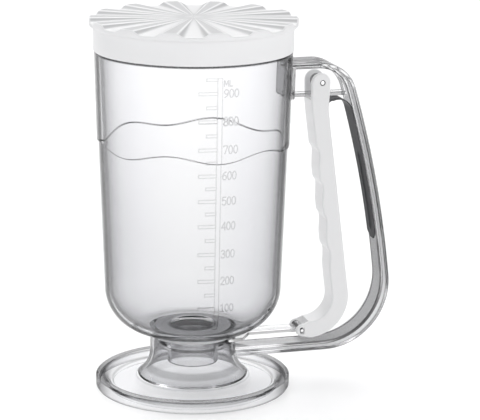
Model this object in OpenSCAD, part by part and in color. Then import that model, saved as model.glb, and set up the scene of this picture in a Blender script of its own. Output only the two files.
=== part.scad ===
// Pancake batter dispenser: a clear measuring jar on a drip stand. Squeezing
// the lever inside the handle pulls a gate from under the jar's outlet.
// Frame: origin at the centre of the stand's underside, +Z up, +X to the handle.

/* [Stand] */
// Diameter of the drip stand
stand_d = 104.2; // [90:0.1:130]
// Height of the stand's rim
stand_h = 6.6; // [6.2:0.1:9]
// Width of the stand's rim at its top
stand_rim_w = 4.5; // [3:0.1:7]
// Width of the slope from the rim down to the floor
stand_slope_w = 5; // [1:0.1:8]
// Thickness of the stand's floor
stand_floor = 2.4; // [1.6:0.1:3]
// Height of the ring that carries the jar's foot
seat_h = 6; // [5:0.1:7]
// Radius of the drip well inside that ring
well_r = 23.5; // [18:0.1:24]

/* [Jar] */
// Height of the jar from its foot to its rim
jar_h = 188.7; // [150:0.1:240]
// Outer diameter of the jar just under the lid
jar_d = 104.1; // [90:0.1:125]
// Wall thickness of the jar
jar_wall = 2.4; // [1.6:0.1:3]
// Slope of the jar's wall, in mm of radius per mm of height
jar_taper = 0.0358; // [0.01:0.0001:0.05]
// Height of the collar's lower edge above the foot
collar_h = 128.3; // [100:0.5:150]
// How far the jar's upper part stands proud of its lower part
collar_step = 0.85; // [0.4:0.05:1.5]
// Slope of the wall above the collar's edge
collar_taper = 0.0267; // [0.01:0.0001:0.05]
// Outer radius of the curve that turns the wall into the bowl's bottom
bowl_r = 24; // [22:0.5:34]
// Inner radius of that curve
bowl_inner_r = 21.5; // [18:0.5:30]
// Height of the rim that the lid slips over
rim_h = 11.7; // [8:0.1:16]
// Thickness of that rim
rim_wall = 1.3; // [1:0.05:2]

/* [Neck] */
// Height of the neck and its foot, under the bowl
neck_h = 25.5; // [22:0.1:31]
// Outer radius of the neck
neck_r = 22.9; // [20:0.1:26]
// Wall thickness of the neck
neck_wall = 2; // [1.5:0.1:3]
// Radius of the trumpet-shaped foot
foot_r = 29.3; // [27:0.1:34]
// Radius of the curve that flares the neck into the foot
flare_r = 16; // [12:0.5:24]
// Thickness of the foot at its edge
foot_edge = 1.2; // [1:0.1:2]

/* [Valve] */
// Radius of the outlet
outlet_r = 11.8; // [8:0.1:13]
// Thickness of the jar's floor at the outlet
floor_t = 2.8; // [2:0.1:4]
// Distance of the gate's underside below the bowl
gate_drop = 5.5; // [4:0.1:8]
// Thickness of the gate and its rod
gate_t = 1.9; // [1.4:0.1:3]
// Half the width of the gate, and the radius of its nose
gate_r = 14.5; // [13.5:0.1:16]
// Thickness of the plate under the gate
guide_floor = 2.5; // [1.5:0.1:4]
// Length of the drip tube under that plate
nozzle_l = 10; // [4:0.5:12]
// Wall of the drip tube
nozzle_wall = 1.7; // [1.2:0.1:3]

/* [Lid] */
// How far the fluted top overhangs the lid's skirt
lid_overhang = 2.1; // [1:0.1:4]
// Thickness of the fluted top at its crests
lid_t = 4; // [3:0.1:6]
// Number of flutes around the top
flutes = 14; // [8:1:24]
// Depth of the flutes at the edge
flute_depth = 2.1; // [1:0.1:3]
// Angle of one crest from the handle
flute_turn = -15; // [-25:1:25]
// Radius of the flat middle, where the flutes begin
flute_start_r = 7; // [4:0.5:15]
// Width of each flute at the edge
flute_w = 11; // [5:0.5:14]
// Height of the fluted top's underside above the jar's rim
lid_plate = 1.4; // [1:0.1:3]
// Thickness left between the hollow underneath and the crests
lid_skin = 3.6; // [3:0.1:5]
// Wall of the ring that plugs the jar's mouth
plug_wall = 1.5; // [1:0.1:2.5]
// Depth of that ring below the jar's rim
plug_h = 8; // [4:0.5:10]

/* [Handle] */
// Reach of the handle from the jar's wall
handle_depth = 55.45; // [50:0.05:70]
// Width of the handle's outer band
handle_w = 22; // [18:0.5:28]
// Thickness of that band
band_t = 2; // [1.6:0.1:3]
// Width of the rail inside the band
rail_w = 13; // [10:0.5:16]
// Thickness of that rail
rail_t = 1.6; // [1.2:0.1:2.5]
// Distance of the handle's top below the jar's shoulder
handle_drop = 8.4; // [6:0.1:14]
// Radius of the handle's upper corner
top_corner_r = 20; // [15:0.5:24]
// Radius of the handle's lower corner
low_corner_r = 36; // [28:0.5:40]
// Distance from the jar's wall to the upper corner's centre
top_corner_gap = 15.05; // [12:0.05:20]
// Radius of the long bow between the corners
bow_r = 580; // [400:10:900]
// Thickness of the web that carries the pivot
web_t = 3; // [2:0.1:5]
// Width of the cross bar under the web
bar_w = 8; // [6:0.5:12]
// Thickness of the cross bar
bar_t = 1.7; // [1.2:0.1:3]
// Height of the root pad on the jar
root_h = 19; // [15:0.5:25]

/* [Lever] */
// Distance from the jar's wall to the lever's pivot
pivot_gap = 16.85; // [15:0.05:20]
// Distance of the pivot below the handle's top
pivot_drop = 11.4; // [10:0.1:13]
// Radius of the ears at the lever's top
ear_r = 5.2; // [4.4:0.1:6]
// Distance from the ears' centre to the pivot
ear_shift = 0.8; // [0:0.1:1.5]
// Depth of the lever from its finger face to its open back
lever_t = 9.2; // [7:0.1:10]
// Width of the lever
lever_w = 14.5; // [14:0.1:18]
// Thickness of the lever's side walls
side_t = 1.9; // [1.4:0.1:2]
// Thickness of the finger face
face_t = 3; // [2.4:0.1:4]
// How far the finger face stands in front of the ears' centre
face_shift = 4.7; // [4:0.1:5.2]
// Inner radius of the bend at the lever's lower end
bend_r = 12.8; // [10:0.1:16]
// Distance from the jar's wall to the bend's centre
bend_gap = 11.65; // [9:0.05:14]
// Distance from the rod's axis up to the bend's centre
bend_rise = 17.7; // [16:0.1:20]
// Radius of the toe around the link pin
toe_r = 3.2; // [2.8:0.1:4]
// Number of finger hollows
hollows = 4; // [3:1:5]
// Depth of the finger hollows
finger_depth = 1.3; // [0.5:0.1:1.4]
// Radius of the finger hollows
finger_r = 17; // [10:0.5:30]

/* [Pins and spring] */
// Radius of the pivot pin
pivot_pin_r = 1.5; // [1:0.05:2]
// Radius of the pin that links the lever and the rod
link_pin_r = 1.2; // [1:0.05:1.6]
// Distance from the jar's wall to the link pin
link_gap = 7.55; // [6:0.05:9]
// Radius of the rod's eye around the link pin
eye_r = 2.6; // [2.2:0.1:3]
// Thickness of the leaf spring
spring_t = 0.6; // [0.4:0.05:1]
// Radius of the spring's arch
arch_r = 8; // [6:0.5:9]
// Distance of the arch's centre below the pivot
arch_drop = 17; // [16:0.1:22]
// Height of the spring's lower end above the handle's lower corner
spring_rise = 22.6; // [5:0.1:50]

/* [Fits] */
// Running clearance of a pin, on the radius
pin_fit = 0.05; // [0.02:0.01:0.1]
// Clearance of sliding and push-on fits
slip_fit = 0.2; // [0.1:0.05:0.4]
// Face clearance above and below the gate
gate_fit = 0.1; // [0.05:0.05:0.2]
// Extra width of the link slots around the link pin
link_fit = 0.12; // [0.08:0.01:0.3]
// Side clearance of the rod in the lever's fork
fork_fit = 0.35; // [0.2:0.05:0.6]
// Side clearance of the handle's boss between the lever's ears
boss_fit = 0.5; // [0.3:0.05:0.8]
// Side clearance of the spring's tongue inside the lever
tongue_fit = 0.65; // [0.4:0.05:1]

/* [Hidden] */
$fn = 96;
eps = 0.01;   // overlap that keeps cuts clean
tuck = 0.004; // how far a line or flat curve lies inside a corner's curve it runs into

// Heights along the jar's axis
neck_top_z = seat_h + neck_h;
rim_z = seat_h + jar_h;
shoulder_z = rim_z - rim_h;
collar_z = seat_h + collar_h;
gate_z = neck_top_z - gate_drop;            // underside of the gate
seal_z = gate_z + gate_t + gate_fit;
seal_t = neck_top_z - gate_fit / 2 - seal_z;
floor_z = neck_top_z + floor_t;
guide_z = gate_z - gate_fit - guide_floor;

// Radii of the jar's wall
jar_r = jar_d / 2;
collar_upper_r = jar_r - (shoulder_z - collar_z) * collar_taper;
collar_lower_r = collar_upper_r - collar_step;
function lower_r(z) = collar_lower_r + (z - collar_z) * jar_taper;
function upper_r(z) = jar_r + (z - shoulder_z) * collar_taper;
function inside_r(z) = lower_r(z) - jar_wall;
rim_r = inside_r(rim_z) + rim_wall;

// Centres of the bowl's outer and inner curves, which meet the wall and the
// bottom without a corner
wall_angle = atan(jar_taper);
bowl_z = neck_top_z + bowl_r;
bowl_x = lower_r(bowl_z) - bowl_r / cos(wall_angle);
inner_z = floor_z + bowl_inner_r;
inner_x = inside_r(inner_z) - bowl_inner_r / cos(wall_angle);
bowl_end_z = bowl_z - bowl_r * sin(wall_angle);
inner_end_z = inner_z - bowl_inner_r * sin(wall_angle);

// Neck and foot
neck_inner_r = neck_r - neck_wall;
flare_x = neck_r + flare_r;                 // centre of the trumpet's curve
flare_z = seat_h + foot_edge + sqrt(flare_r ^ 2 - (flare_x - foot_r) ^ 2);
slot_half_w = gate_r + slip_fit + 0.3;

// Lid
lid_under_z = rim_z + lid_plate;
skirt_r = jar_r + 0.45;
lid_r = skirt_r + lid_overhang;
plug_r = inside_r(rim_z - plug_h) - slip_fit;
flute_slope = flute_depth / (lid_r - flute_start_r);

// Handle outline: a straight top, a corner, a long bow, a corner, a straight
// bottom. The bow is tangent to both corners.
handle_top_z = shoulder_z - handle_drop;
handle_low_z = gate_z - 9.4;
handle_x = jar_r + handle_depth;
top_c = [jar_r + top_corner_gap, handle_top_z - top_corner_r];
low_c = [handle_x - low_corner_r, handle_low_z + low_corner_r];
corner_gap = norm(low_c - top_c);
corner_dir = (low_c - top_c) / corner_gap;
bow_side = [corner_dir[1], -corner_dir[0]];
top_arm = bow_r - top_corner_r;
low_arm = bow_r - low_corner_r;
bow_along = (top_arm ^ 2 - low_arm ^ 2 + corner_gap ^ 2) / (2 * corner_gap);
bow_c = top_c + bow_along * corner_dir + sqrt(top_arm ^ 2 - bow_along ^ 2) * bow_side;
function angle_of(v) = atan2(v[1], v[0]);
bow_top_a = angle_of(top_c - bow_c);
bow_low_a = angle_of(low_c - bow_c);
handle_t = band_t + rail_t;
root_z = handle_top_z - root_h;

// Lever
pivot_x = jar_r + pivot_gap;
pivot_z = handle_top_z - pivot_drop;
link_x = jar_r + link_gap;
link_z = gate_z + gate_t / 2;
bend_x = jar_r + bend_gap;
bend_z = link_z + bend_rise;
bend_outer_r = bend_r + lever_t;
face_top_z = root_z - 1.7;                  // top of the finger face
knee_z = pivot_z - 15;                      // where the lean begins
ear_x = pivot_x - ear_shift;
knee_x = ear_x - face_shift;
knee_to_bend = norm([bend_x - knee_x, knee_z - bend_z]);
lever_lean = atan2(bend_x - knee_x, knee_z - bend_z) + asin(bend_r / knee_to_bend);
finger_pitch = (knee_z - bend_z) / (hollows + 1.6);
inner_w = lever_w - 2 * side_t;
boss_w = inner_w - 2 * boss_fit;
rod_w = inner_w - 2 * fork_fit;
boss_r = pivot_pin_r + 2;
slot_half_h = link_pin_r + 0.8;
function bend_point(r) = [bend_x, bend_z] + r * [cos(lever_lean), sin(lever_lean)];
function face_x(z) = bend_point(bend_r)[0] - (z - bend_point(bend_r)[1]) * tan(lever_lean);
function back_x(z) = bend_point(bend_outer_r)[0]
    - (z - bend_point(bend_outer_r)[1]) * tan(lever_lean);

// Leaf spring: it lies on the handle's rail, arches over and ends as a tongue
// that rests on the inside of the finger face
spring_w = rail_w - 2 * slip_fit;
tongue_w = inner_w - 2 * tongue_fit;
spring_bow_r = bow_r - handle_t;
arch_z = pivot_z - arch_drop;
arch_a = asin((arch_z - bow_c[1]) / (spring_bow_r - arch_r));
arch_c = [bow_c[0] + (spring_bow_r - arch_r) * cos(arch_a), arch_z];
shoulder_a = 114;                           // where the tongue begins
arch_end_a = 150;
spring_end_a = asin((low_c[1] + spring_rise - bow_c[1]) / spring_bow_r);
tongue_l = 7.5;
tongue_z = arch_z - 1;
tongue_top = [face_x(tongue_z) + face_t + 0.6, tongue_z];

// A 2D sector of a circle about the origin, between two angles under 180 apart
module sector(r, from_a, to_a) {
    mid_a = (from_a + to_a) / 2;
    reach = r / cos((to_a - from_a) / 2) + 1;
    intersection() {
        circle(r = r, $fn = 360);
        polygon([
            [0, 0],
            reach * [cos(from_a), sin(from_a)],
            reach * [cos(mid_a), sin(mid_a)],
            reach * [cos(to_a), sin(to_a)],
        ]);
    }
}

// Part of a ring between two radii and two angles
module ring_sector(outer_r, inner_r, from_a, to_a) {
    difference() {
        sector(outer_r, from_a, to_a);
        circle(r = inner_r, $fn = 360);
    }
}

// Turns an XZ outline into a plate of width w, centred on the handle's plane
module plate(w) {
    translate([0, w / 2, 0])
        rotate([90, 0, 0])
            linear_extrude(w)
                children();
}

// A cylinder along Y, centred on the handle's plane
module cross_pin(x, z, r, l) {
    translate([x, l / 2, z])
        rotate([90, 0, 0])
            cylinder(r = r, h = l);
}

// Outer outline of the jar, the neck and the foot, as a solid of revolution;
// extra moves the wall outwards
module jar_outside(extra = 0) {
    rotate_extrude() {
        polygon([
            [0, bowl_end_z],
            [lower_r(bowl_end_z) + extra, bowl_end_z],
            [collar_lower_r + extra, collar_z],
            [collar_upper_r + extra, collar_z],
            [jar_r + extra, shoulder_z],
            [rim_r + extra, shoulder_z],
            [rim_r + extra, rim_z],
            [0, rim_z],
        ]);
        intersection() {
            translate([bowl_x, bowl_z])
                circle(r = bowl_r + extra);
            translate([bowl_x, neck_top_z - extra])
                square([bowl_r + extra + 1, bowl_end_z - neck_top_z + extra]);
        }
        translate([0, neck_top_z - extra])
            square([bowl_x + eps, bowl_end_z - neck_top_z + extra]);
        translate([0, seat_h])
            square([neck_r + extra, neck_top_z + 1 - seat_h]);
        difference() {
            translate([0, seat_h])
                square([foot_r + extra, flare_z - seat_h]);
            translate([flare_x, flare_z])
                circle(r = flare_r - extra);
        }
    }
}

// Hollow of the jar above its floor
module jar_inside() {
    rotate_extrude() {
        polygon([
            [0, inner_end_z],
            [inside_r(inner_end_z), inner_end_z],
            [inside_r(rim_z + 1), rim_z + 1],
            [0, rim_z + 1],
        ]);
        intersection() {
            translate([inner_x, inner_z])
                circle(r = bowl_inner_r);
            translate([inner_x, floor_z])
                square([bowl_inner_r + 1, inner_end_z - floor_z]);
        }
        translate([0, floor_z])
            square([inner_x + eps, inner_end_z - floor_z]);
    }
}

// Hollow of the neck and its trumpet, open at the bottom
module neck_inside() {
    translate([0, 0, seat_h - 1])
        cylinder(r = neck_inner_r, h = neck_top_z - seat_h + 1);
    rotate_extrude()
        difference() {
            translate([0, seat_h - 1])
                square([foot_r, flare_z - seat_h + 1]);
            translate([flare_x, flare_z])
                circle(r = flare_r + neck_wall);
        }
}

// Clearance through the neck's wall for the gate and its rod
module gate_slot() {
    translate([0, -slot_half_w, gate_z - gate_fit])
        cube([foot_r + 10, 2 * slot_half_w, gate_t + 2 * gate_fit]);
}

// Outline of the gate in plan: round nose, wide plate, shoulders, rod
module gate_plan(extra = 0) {
    shoulder_x = neck_r + 1;
    circle(r = gate_r + extra);
    polygon([
        [0, -gate_r - extra],
        [shoulder_x, -gate_r - extra],
        [shoulder_x + 6, -rod_w / 2 - extra],
        [link_x, -rod_w / 2 - extra],
        [link_x, rod_w / 2 + extra],
        [shoulder_x + 6, rod_w / 2 + extra],
        [shoulder_x, gate_r + extra],
        [0, gate_r + extra],
    ]);
}

module drip_stand() {
    rim_r_in = stand_d / 2 - stand_rim_w;
    slope_r_in = rim_r_in - stand_slope_w;
    color([0.86, 0.87, 0.88, 0.5])
        rotate_extrude()
            difference() {
                union() {
                    square([stand_d / 2, stand_floor]);
                    polygon([
                        [slope_r_in, 0],
                        [stand_d / 2, 0],
                        [stand_d / 2, stand_h],
                        [rim_r_in, stand_h],
                        [slope_r_in, stand_floor],
                    ]);
                    translate([well_r, 0])
                        square([foot_r + 1.4 - well_r, seat_h]);
                }
                // bevel around the rim's outer edge
                polygon([
                    [stand_d / 2 - 0.8, stand_h + eps],
                    [stand_d / 2 + eps, stand_h + eps],
                    [stand_d / 2 + eps, stand_h - 0.8],
                ]);
            }
}

module jar() {
    color([0.8, 0.81, 0.82, 0.4])
        difference() {
            jar_outside();
            jar_inside();
            neck_inside();
            translate([0, 0, neck_top_z - eps])
                cylinder(r = outlet_r, h = floor_t + 2 * eps);
            gate_slot();
        }
}

module gate_seal() {
    color([0.93, 0.93, 0.92])
        translate([0, 0, seal_z])
            difference() {
                cylinder(r = neck_inner_r - slip_fit, h = seal_t);
                translate([0, 0, -1])
                    cylinder(r = outlet_r, h = seal_t + 2);
            }
}

// Plate under the gate, with cheeks that guide it and a drip tube
module outlet_nozzle() {
    channel_h = gate_t + gate_fit;
    color([0.9, 0.9, 0.9])
        difference() {
            union() {
                translate([0, 0, guide_z])
                    cylinder(r = neck_inner_r - gate_fit, h = guide_floor + channel_h);
                translate([0, 0, guide_z - nozzle_l])
                    cylinder(r = outlet_r + nozzle_wall, h = nozzle_l + eps);
            }
            translate([0, 0, guide_z + guide_floor])
                linear_extrude(channel_h + 1)
                    gate_plan(slip_fit);
            translate([0, 0, guide_z - nozzle_l - 1])
                cylinder(r = outlet_r, h = nozzle_l + guide_floor + 2);
        }
}

module gate_slide() {
    color([0.85, 0.86, 0.87, 0.5])
        difference() {
            union() {
                translate([0, 0, gate_z])
                    linear_extrude(gate_t)
                        gate_plan();
                cross_pin(link_x, link_z, eye_r, rod_w);
            }
            cross_pin(link_x, link_z, link_pin_r + pin_fit / 2, rod_w + 2);
        }
}

module link_pin() {
    color([0.7, 0.7, 0.72])
        cross_pin(link_x, link_z, link_pin_r, lever_w - 0.6);
}

// Area inside the handle's outline, moved inwards by inset
module handle_area(inset) {
    top_z = handle_top_z - inset - tuck;
    low_z = handle_low_z + inset + tuck;
    long_r = bow_r - inset - tuck;
    top_p = bow_c + long_r * [cos(bow_top_a), sin(bow_top_a)];
    low_p = bow_c + long_r * [cos(bow_low_a), sin(bow_low_a)];
    low_in = low_c + low_corner_r / 4 * [cos(-40), sin(-40)];
    top_in = top_c + top_corner_r / 4 * [cos(50), sin(50)];
    polygon([
        [0, low_z], [low_c[0], low_z], low_in, low_p,
        top_p, top_in, [top_c[0], top_z], [0, top_z],
    ]);
    translate(top_c)
        sector(top_corner_r - inset, bow_top_a - 2, 92);
    translate(low_c)
        sector(low_corner_r - inset, -92, bow_low_a + 2);
    intersection() {
        translate(bow_c)
            sector(long_r, bow_low_a, bow_top_a);
        translate([0, low_c[1] - low_corner_r])
            square([handle_x + 1, handle_top_z]);
    }
}

module handle() {
    color([0.88, 0.89, 0.9, 0.5])
        difference() {
            union() {
                // outer band and the rail inside it
                plate(handle_w)
                    difference() {
                        handle_area(0);
                        handle_area(band_t);
                    }
                plate(rail_w)
                    difference() {
                        handle_area(band_t - eps);
                        handle_area(handle_t);
                    }
                // web between the top of the handle and the cross bar
                plate(web_t)
                    intersection() {
                        handle_area(band_t);
                        translate([0, root_z])
                            square([handle_x, root_h]);
                    }
                plate(bar_w)
                    intersection() {
                        handle_area(band_t);
                        translate([0, root_z])
                            square([handle_x, bar_t]);
                    }
                cross_pin(pivot_x, pivot_z, boss_r, boss_w);
                // pad that seats on the jar's wall
                intersection() {
                    jar_outside(band_t);
                    translate([0, -handle_w / 2, root_z])
                        cube([jar_r + 10, handle_w, root_h]);
                }
            }
            jar_outside();
            cross_pin(pivot_x, pivot_z, pivot_pin_r + pin_fit, boss_w + 2);
        }
}

module pivot_pin() {
    color([0.75, 0.76, 0.78])
        cross_pin(pivot_x, pivot_z, pivot_pin_r, lever_w - 0.6);
}

// Side view of the lever; cut takes that much off the finger face
module lever_side(cut) {
    front_x = ear_x - ear_r + 0.3 + cut;
    difference() {
        union() {
            polygon([
                bend_point(bend_r + 1),
                bend_point(bend_outer_r - 1) + 2 * [sin(lever_lean), -cos(lever_lean)],
                bend_point(bend_outer_r - tuck),
                [back_x(knee_z) - tuck, knee_z],
                [ear_x + ear_r - 0.3, pivot_z + 1],
                [front_x - 1, pivot_z + 1],
                [knee_x - 1, knee_z],
            ]);
            translate([bend_x, bend_z])
                sector(bend_outer_r, -90, lever_lean + 2);
        }
        translate([bend_x, bend_z])
            circle(r = bend_r + cut, $fn = 360);
        // everything in front of the finger face
        polygon([
            bend_point(bend_r + cut - tuck),
            [knee_x + cut - tuck, knee_z],
            [front_x, pivot_z + 1],
            [front_x, pivot_z + 2],
            [0, pivot_z + 2],
            [0, bend_z],
            [bend_x, bend_z],
        ]);
    }
}

// The lever's side view with its ears and its toe
module lever_outline() {
    lever_side(0);
    translate([ear_x, pivot_z])
        circle(r = ear_r);
    translate([link_x, link_z])
        circle(r = toe_r);
    polygon([
        [link_x, link_z - toe_r],
        [bend_x, bend_z - bend_outer_r],
        [bend_x + 2, bend_z - bend_r - lever_t / 2],
        [bend_x, bend_z - bend_r],
        [link_x, link_z + toe_r],
    ]);
}

module squeeze_lever() {
    first_z = knee_z - 1.36 * finger_pitch;
    color([0.95, 0.95, 0.95])
        difference() {
            plate(lever_w)
                lever_outline();
            // hollow between the side walls, open at the back, the ears and the toe
            plate(inner_w)
                union() {
                    difference() {
                        lever_side(face_t);
                        translate([0, face_top_z])
                            square([100, 100]);
                    }
                    translate([ear_x - ear_r - 1, face_top_z])
                        square([2 * ear_r + 2, 40]);
                    translate([link_x - toe_r - 1, bend_z - bend_outer_r - 1])
                        square([bend_x - link_x + toe_r + 1 + eps, lever_t + 2]);
                }
            // hollows for the fingers
            for (i = [0:hollows - 1]) {
                z = first_z - i * finger_pitch;
                cross_pin(
                    face_x(z) - (finger_r - finger_depth) * cos(lever_lean),
                    z - (finger_r - finger_depth) * sin(lever_lean),
                    finger_r, lever_w + 2
                );
            }
            cross_pin(pivot_x, pivot_z, pivot_pin_r + pin_fit / 2, lever_w + 2);
            // upright slots for the link pin
            translate([link_x - link_pin_r - link_fit, -lever_w, link_z - slot_half_h])
                cube([2 * (link_pin_r + link_fit), 2 * lever_w, 2 * slot_half_h]);
        }
}

// Area under the leaf spring's bow and arch
module spring_underside() {
    translate(bow_c)
        sector(spring_bow_r - spring_t - tuck, spring_end_a - 1, arch_a + 0.01);
    translate(arch_c)
        circle(r = arch_r - spring_t, $fn = 360);
}

module leaf_spring() {
    arch_end = arch_c + (arch_r - spring_t / 2) * [cos(arch_end_a), sin(arch_end_a)];
    run = tongue_top - arch_end;
    color([0.3, 0.3, 0.32])
        union() {
            plate(spring_w)
                difference() {
                    translate(bow_c)
                        sector(spring_bow_r - tuck, spring_end_a, arch_a);
                    spring_underside();
                }
            plate(spring_w)
                difference() {
                    translate(arch_c)
                        sector(arch_r, arch_a - 2, shoulder_a);
                    spring_underside();
                }
            plate(tongue_w)
                union() {
                    translate(arch_c)
                        ring_sector(arch_r, arch_r - spring_t, shoulder_a - 3, arch_end_a);
                    translate(arch_end)
                        rotate(angle_of(run))
                            translate([0, -spring_t / 2])
                                square([norm(run), spring_t]);
                    translate(tongue_top)
                        circle(r = 0.45 * spring_t);
                    translate(arch_end)
                        circle(r = 0.45 * spring_t);
                    translate(tongue_top)
                        rotate(lever_lean - 90)
                            translate([0, -spring_t / 2])
                                square([tongue_l, spring_t]);
                }
        }
}

// One V-groove that deepens from the lid's flat middle to its edge
module flute() {
    half_a = 130 / flutes;
    intersection() {
        translate([0, 0, lid_under_z + lid_t + flute_slope * flute_start_r])
            rotate([0, 90 + atan(flute_slope), 0])
                linear_extrude(lid_r + 5)
                    polygon([
                        [0, 0],
                        [-2 * flute_depth, flute_w],
                        [-2 * flute_depth, -flute_w],
                    ]);
        translate([0, 0, lid_under_z])
            linear_extrude(2 * lid_t)
                polygon([
                    3 * [cos(half_a), -sin(half_a)],
                    (lid_r + 9) * [cos(half_a), -sin(half_a)],
                    (lid_r + 9) * [cos(half_a), sin(half_a)],
                    3 * [cos(half_a), sin(half_a)],
                ]);
    }
}

module lid() {
    color([0.97, 0.97, 0.97])
        difference() {
            // fluted top and skirt
            union() {
                translate([0, 0, lid_under_z])
                    cylinder(r = lid_r, h = lid_t);
                translate([0, 0, shoulder_z + gate_fit])
                    cylinder(r = skirt_r, h = lid_under_z - shoulder_z);
            }
            // recess for the jar's rim, between the skirt and the plug
            difference() {
                translate([0, 0, shoulder_z])
                    cylinder(r = rim_r + slip_fit, h = rim_h);
                translate([0, 0, rim_z - plug_h])
                    cylinder(r = plug_r, h = plug_h + 1);
            }
            // hollow inside the plug ring
            translate([0, 0, shoulder_z - 1])
                cylinder(
                    r = plug_r - plug_wall,
                    h = lid_under_z + lid_t - lid_skin - shoulder_z + 1
                );
            for (i = [0:flutes - 1])
                rotate([0, 0, flute_turn + (i + 0.5) * 360 / flutes])
                    flute();
        }
}

drip_stand();
jar();
gate_seal();
outlet_nozzle();
gate_slide();
link_pin();
handle();
pivot_pin();
squeeze_lever();
leaf_spring();
lid();
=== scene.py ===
import math

import bpy
import bmesh
import numpy as np
from mathutils import Matrix, Vector


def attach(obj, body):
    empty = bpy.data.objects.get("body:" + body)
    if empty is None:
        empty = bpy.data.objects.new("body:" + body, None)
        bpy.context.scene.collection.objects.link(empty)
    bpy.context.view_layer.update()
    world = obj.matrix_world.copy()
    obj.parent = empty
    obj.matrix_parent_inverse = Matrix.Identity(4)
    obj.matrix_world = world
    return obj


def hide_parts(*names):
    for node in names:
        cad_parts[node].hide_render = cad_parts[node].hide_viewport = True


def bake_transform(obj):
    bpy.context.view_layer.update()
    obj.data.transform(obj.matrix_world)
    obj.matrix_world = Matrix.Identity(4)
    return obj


# Pancake batter dispenser. All lengths in the tables below are millimetres in
# the frame of the CAD model: +Z up, +X towards the handle.
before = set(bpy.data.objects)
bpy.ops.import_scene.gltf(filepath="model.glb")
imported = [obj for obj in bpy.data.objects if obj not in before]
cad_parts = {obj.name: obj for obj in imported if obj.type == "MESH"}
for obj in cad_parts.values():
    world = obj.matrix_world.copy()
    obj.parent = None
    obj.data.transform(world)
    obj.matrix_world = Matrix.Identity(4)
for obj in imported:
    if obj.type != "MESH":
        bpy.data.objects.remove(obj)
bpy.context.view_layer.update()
MM = 0.001


def deg(a):
    return math.radians(a)


# ---- dimensions

# jar
NECK_TOP_Z = 31.5       # underside of the bowl
FLOOR_Z = 34.3          # floor of the bowl
SHOULDER_Z = 183.0      # the lid's skirt ends here
SLOT_Z = (25.9, 28.0)   # the gate's slot in the neck, from low to high
SLOT_HALF_DEG = 45.9    # and its reach to either side of +X
RIM_Z = 194.7
JAR_R = 52.05
RIM_R = 50.9
UPPER_TAPER = 0.0267
LOWER_TAPER = 0.0358
STEP_Z = 134.3          # mean height of the wavy step around the jar
STEP = 0.85             # how far the wall steps out there
STEP_WAVE = 2.0         # how far it swings up and down
WALL = 2.4
BOWL_R = 24.0
BOWL_IN_R = 21.5
NECK_R = 22.9
NECK_IN_R = 20.9
FOOT_R = 29.3
FLARE_R = 16.0
FLARE_C = (38.9, 20.0)
OUTLET_R = 11.8
MARK_R = 50             # the scale is laid out on this radius
MARK_HEIGHT = 0.3

# lever and its pins, as (x, z) in the plane of the handle
EAR = (68.1, 163.2)
EAR_R = 5.2
PIVOT = (68.9, 163.2)
LINK = (59.6, 26.95)
BEND = (63.7, 44.65)
BEND_IN_R = 12.8
BEND_OUT_R = 22.0
LEAN = 7.27             # degrees from upright, also where the bend begins
KNEE = (63.4, 148.2)
LEVER_W = 14.5
LEVER_IN_W = 10.7
PIVOT_PIN_R = 1.5
LINK_PIN_R = 1.2

# gate
GATE_R = 14.5
GATE_T = 1.9
ROD_HALF_W = 5.0

# handle: a long bow between two corners
BOW_R = 580.0
TOP_C = (67.1, 154.6)
LOW_C = (71.5, 52.6)
TOP_R = 20.0
LOW_R = 36.0
BAND_HALF_W = 11
BAND_T = 2.0
RAIL_HALF_W = 6.5
RAIL_IN = 3.6           # depth of the rail's inner face below the band's outside
PAD_Z = (155.6, 174.6)

# leaf spring
SPRING_T = 0.6
SPRING_W = 12.6
TONGUE_W = 9.4

# lid
FLUTES = 14
FLUTE_START_R = 7.0
FLUTE_DEPTH = 2.1       # at the lid's edge
LID_R = 54.6
LID_TOP_Z = 200.1
LID_UNDER_Z = 196.1     # underside of the brim

AXIS_R = 0.02           # lathed outlines stop this close to their axis
VALVE_SEGMENTS = 160


def upper_r(z):
    return JAR_R + (z - SHOULDER_Z) * UPPER_TAPER


def lower_r(z):
    return upper_r(STEP_Z) - STEP + (z - STEP_Z) * LOWER_TAPER


def inside_r(z):
    return lower_r(z) - WALL


# ---- mesh making

def new_piece(name, points, faces, body, slot=None, replaces=()):
    """A mesh piece from points in millimetres, riding on a body."""
    mesh = bpy.data.meshes.new(name)
    mesh.from_pydata([tuple(p) for p in np.asarray(points, float) * MM], [], faces)
    mesh.validate()
    bm = bmesh.new()
    bm.from_mesh(mesh)
    bmesh.ops.recalc_face_normals(bm, faces=bm.faces)
    bm.to_mesh(mesh)
    bm.free()
    mesh.shade_smooth()
    piece = bpy.data.objects.new(name, mesh)
    bpy.context.scene.collection.objects.link(piece)
    if body:
        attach(piece, body)
    if replaces:
        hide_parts(*replaces)
    return piece


def ring_grid(rows, columns, close_rows=True):
    """Quads over a grid of points whose columns run round in a ring."""
    faces = []
    last = rows if close_rows else rows - 1
    for i in range(last):
        a, b = i * columns, ((i + 1) % rows) * columns
        for j in range(columns):
            k = (j + 1) % columns
            faces.append((a + j, a + k, b + k, b + j))
    return faces


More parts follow.
